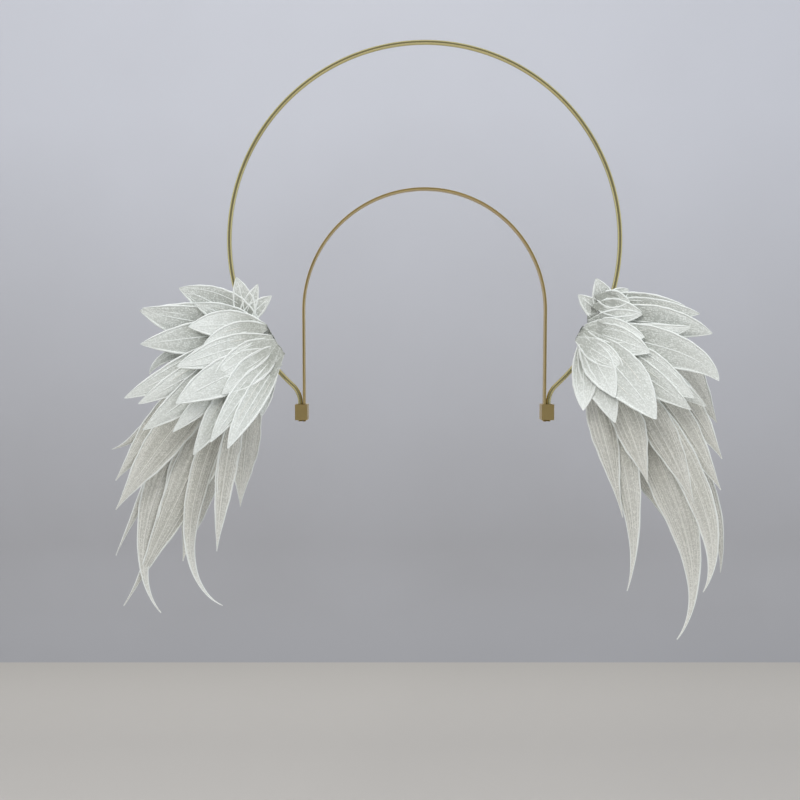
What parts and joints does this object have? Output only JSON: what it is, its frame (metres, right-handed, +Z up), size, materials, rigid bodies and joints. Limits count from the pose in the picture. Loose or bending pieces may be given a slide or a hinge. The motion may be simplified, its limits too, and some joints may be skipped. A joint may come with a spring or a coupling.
{
  "type": "halo headband",
  "caption": "Hair hoop carrying an upright gold wire halo ring, with a layered wing of white embroidered lace feathers sewn to each side of the ring.",
  "frame": {"origin": "inner face of the hair hoop at its crown, where it sits on the head", "axes": "+Z up, the wearer faces -Y, +X to the right of someone looking at the wearer's face"},
  "size_m": [0.3929, 0.0451, 0.3801],
  "materials": {
    "polished_gold_wire": "polished gold plated wire",
    "gold_hoop_band": "plain gold plated band with a soft polish",
    "white_covert_lace": "white organza with raised satin stitch edges and veins",
    "sheer_feather_lace": "sheer ivory organza with fine corded edges and lengthwise ribs"
  },
  "bodies": {
    "root": {"halo_ring": "polished_gold_wire", "hair_hoop": "gold_hoop_band", "end_sleeve_left": "gold_hoop_band", "end_sleeve_right": "gold_hoop_band", "left_rear_primaries": "sheer_feather_lace", "left_primaries": "sheer_feather_lace", "left_secondaries": "sheer_feather_lace", "left_rear_coverts": "white_covert_lace", "left_mid_coverts": "white_covert_lace", "left_front_coverts": "white_covert_lace", "right_rear_primaries": "sheer_feather_lace", "right_primaries": "sheer_feather_lace", "right_secondaries": "sheer_feather_lace", "right_rear_coverts": "white_covert_lace", "right_mid_coverts": "white_covert_lace", "right_front_coverts": "white_covert_lace"}
  },
  "joints": []
}
